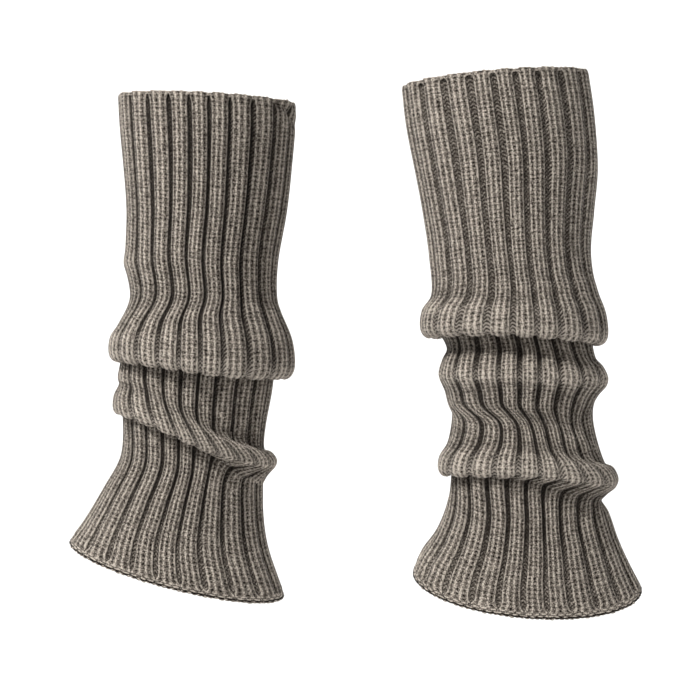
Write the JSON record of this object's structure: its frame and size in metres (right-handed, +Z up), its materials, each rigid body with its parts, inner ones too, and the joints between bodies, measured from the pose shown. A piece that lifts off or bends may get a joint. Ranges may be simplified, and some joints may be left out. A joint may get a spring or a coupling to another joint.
{
  "type": "pair of leg warmers",
  "caption": "Pair of chunky ribbed knit leg warmers, worn and slouched into soft folds, hollow from the calf opening to the flared hem.",
  "frame": {"origin": "midway between the two calves that wear the pair, at the height where the cloth grips them", "axes": "+X from the left one in view towards the right one, -Y out of the fronts, +Z up along the legs"},
  "size_m": [0.3686, 0.1244, 0.3474],
  "materials": {
    "knit": "matt chunky rib knit",
    "edge_knit": "matt plain knitted edge"
  },
  "bodies": {
    "root": {"left_tube": "knit", "left_top_edge": "edge_knit", "left_hem_edge": "edge_knit", "right_tube": "knit", "right_top_edge": "edge_knit", "right_hem_edge": "edge_knit"}
  },
  "joints": []
}
